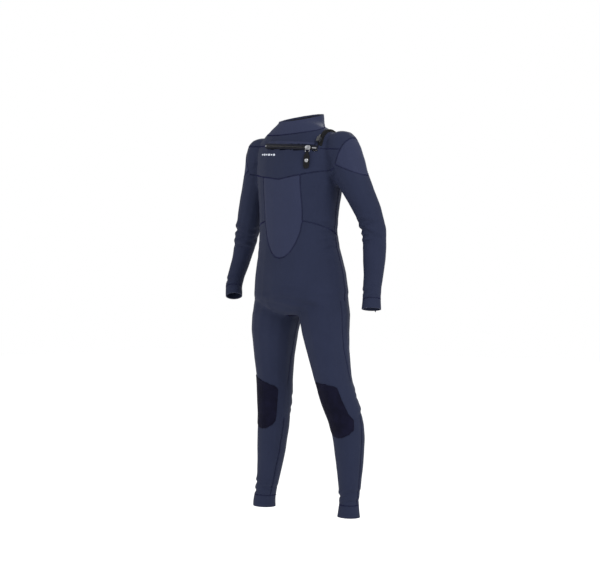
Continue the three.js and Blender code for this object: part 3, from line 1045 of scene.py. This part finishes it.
def makeTeeth():
    centre = jointPoint("zip_slide")
    axis = Vector(joints["zip_slide"]["axis"]).normalized()
    co = coordsOf(frame["nodes"]["zip_coil"]) - np.array(centre)
    along = co @ np.array(axis)
    flat = co - np.outer(along, axis)
    radius = np.linalg.norm(flat, axis=1).max()
    start = Vector((0, -1, 0))
    start = (start - axis * start.dot(axis)).normalized()
    across = axis.cross(start).normalized()
    angles = np.arctan2(flat @ np.array(across), flat @ np.array(start))
    first, last = angles.min(), angles.max()
    middle = (along.max() + along.min()) / 2
    w, h, d = [s * mm for s in zipTeeth["size"]]
    bpy.ops.mesh.primitive_cube_add(size=1)
    tooth = bpy.context.object
    tooth.dimensions = (w, d, h)
    freeze(tooth)
    bevel(tooth, zipTeeth["edge"] * mm, 2, 30)
    count = int((last - first) * radius / (zipTeeth["pitch"] * mm))
    copies = []
    for i in range(count):
        angle = first + (i + 0.5) / count * (last - first)
        out = start * math.cos(angle) + across * math.sin(angle)
        side = axis.cross(out)
        new = duplicate(tooth, f"tooth{i}")
        shift = zipTeeth["stagger"] * mm * (1 if i % 2 else -1)
        place = centre + out * (radius - d / 2 + zipTeeth["proud"] * mm) + axis * (middle + shift)
        new.matrix_world = Matrix((
            (side.x, out.x, axis.x, place.x),
            (side.y, out.y, axis.y, place.y),
            (side.z, out.z, axis.z, place.z),
            (0, 0, 0, 1),
        ))
        copies.append(new)
    bpy.data.objects.remove(tooth)
    teeth = joined(copies, "fine_zip_teeth")
    freeze(teeth)
    paint(teeth, "teeth")
    smoothShade(teeth, 40)
    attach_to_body(teeth, "suit")
    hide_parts("zip_coil")


makeTeeth()
print("teeth made")


# the drawcord, laid along the binding

cordSizes = {
    "radius": 1.55 * mm,
    "lift": 3.7 * mm,
    "steps": 70,
    "smoothing": 6,
    "roundness": 3,
    "hubBack": 0.004,
    "hubDrop": 0.012,
    "frontLift": 0.002,
    "backLift": 0.004,
    "castFrom": 0.3,
}


def makeDrawcord():
    lo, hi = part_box("drawcord")
    x = (lo.x + hi.x) / 2
    hub = Vector((x, (lo.y + hi.y) / 2 + cordSizes["hubBack"], lo.z - cordSizes["hubDrop"]))
    points = []
    first = math.atan2(lo.z + cordSizes["frontLift"] - hub.z, lo.y - hub.y)
    last = math.atan2(lo.z + cordSizes["backLift"] - hub.z, hi.y - hub.y)
    for i in range(cordSizes["steps"] + 1):
        turn = first + (last - first) * i / cordSizes["steps"]
        way = Vector((0, math.cos(turn), math.sin(turn)))
        spot, normal, _, _ = surface.ray_cast(hub + way * cordSizes["castFrom"], -way)
        points.append(spot + normal * cordSizes["lift"])
    points = smoothLine(points, cordSizes["smoothing"])
    obj = tubeAlong("soft_drawcord", [points], cordSizes["radius"], cordSizes["roundness"], "trim")
    smoothShade(obj, 60)
    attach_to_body(obj, "suit")
    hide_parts("drawcord")


makeDrawcord()


# the printed mark on the chest: a plain row of bars

mark = {
    "bars": 6,
    "share": 0.62,
    "height": 5.5,
    "short": 0.72,
    "slope": 0.0715,
    "margin": 0.0045,
    "lift": 0.35,
    "thick": 0.25,
    "castFrom": -0.5,
}


def makeMark():
    lo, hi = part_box("chest_mark")
    bars = []
    count = mark["bars"]
    for i in range(count):
        share = (i + 0.5) / count
        x = lo.x + (hi.x - lo.x) * share
        z = hi.z - mark["margin"] - (hi.z - lo.z - 2 * mark["margin"]) * share
        width = (hi.x - lo.x) / count * mark["share"]
        height = mark["height"] * mm * (1 if i % 2 else mark["short"])
        bpy.ops.mesh.primitive_grid_add(x_subdivisions=6, y_subdivisions=5, size=1)
        bar = bpy.context.object
        co = coordsOf(bar)
        for k, (u, v, _) in enumerate(co.copy()):
            px = x + u * width
            pz = z + v * height - mark["slope"] * u * width
            spot, normal, _, _ = surface.ray_cast(Vector((px, mark["castFrom"], pz)), Vector((0, 1, 0)))
            co[k] = spot + normal * mark["lift"] * mm
        setCoords(bar, co)
        bars.append(bar)
    obj = joined(bars, "fine_chest_mark")
    editMesh(obj, bpy.ops.mesh.normals_make_consistent, inside=False)
    thicken(obj, mark["thick"] * mm, 0)
    paint(obj, "mark")
    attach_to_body(obj, "suit")
    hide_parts("chest_mark")


makeMark()
bpy.data.objects.remove(formObj)
print("mark made")


# floor, world backdrop and light

white = (1, 1, 1, 1)
studio = {"floorSize": 40, "floorDrop": 0.62, "floorGlow": 0.1, "worldLight": 1.0, "aim": (0, 0, -0.5)}
lamps = {
    "key": {"azimuth": 75, "height": 1.6, "distance": 3.2, "size": 1.6, "power": 90},
    "fill": {"azimuth": -20, "height": 0.8, "distance": 3.4, "size": 2.4, "power": 30},
    "rim": {"azimuth": 200, "height": 1.6, "distance": 3.0, "size": 1.4, "power": 60},
}


def makeFloor():
    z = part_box("left_ankle_cuff")[0].z - studio["floorDrop"]
    bpy.ops.mesh.primitive_plane_add(size=studio["floorSize"], location=(0, 0, z))
    floor = bpy.context.object
    floor.name = "floor"
    mat, _, _, shader = newMaterial("pale floor")
    setInputs(shader, {
        "Base Color": (0.98, 0.98, 0.98, 1),
        "Roughness": 1,
        "Emission Color": white,
        "Emission Strength": studio["floorGlow"],
    })
    floor.data.materials.append(mat)


def makeWorld():
    world = bpy.data.worlds.new("studio")
    bpy.context.scene.world = world
    world.use_nodes = True
    setInputs(world.node_tree.nodes["Background"], {"Color": white, "Strength": studio["worldLight"]})
    bpy.context.scene.view_settings.view_transform = "Standard"


def makeLamp(name, spec):
    turn = math.radians(spec["azimuth"])
    data = bpy.data.lights.new(name, "AREA")
    data.shape = "DISK"
    data.size = spec["size"]
    data.energy = spec["power"]
    obj = addObject(name, data)
    obj.location = (math.sin(turn) * spec["distance"], -math.cos(turn) * spec["distance"], spec["height"])
    pointAlong(obj, Vector(studio["aim"]) - obj.location)


makeFloor()
makeWorld()
for name, spec in lamps.items():
    makeLamp(name, spec)
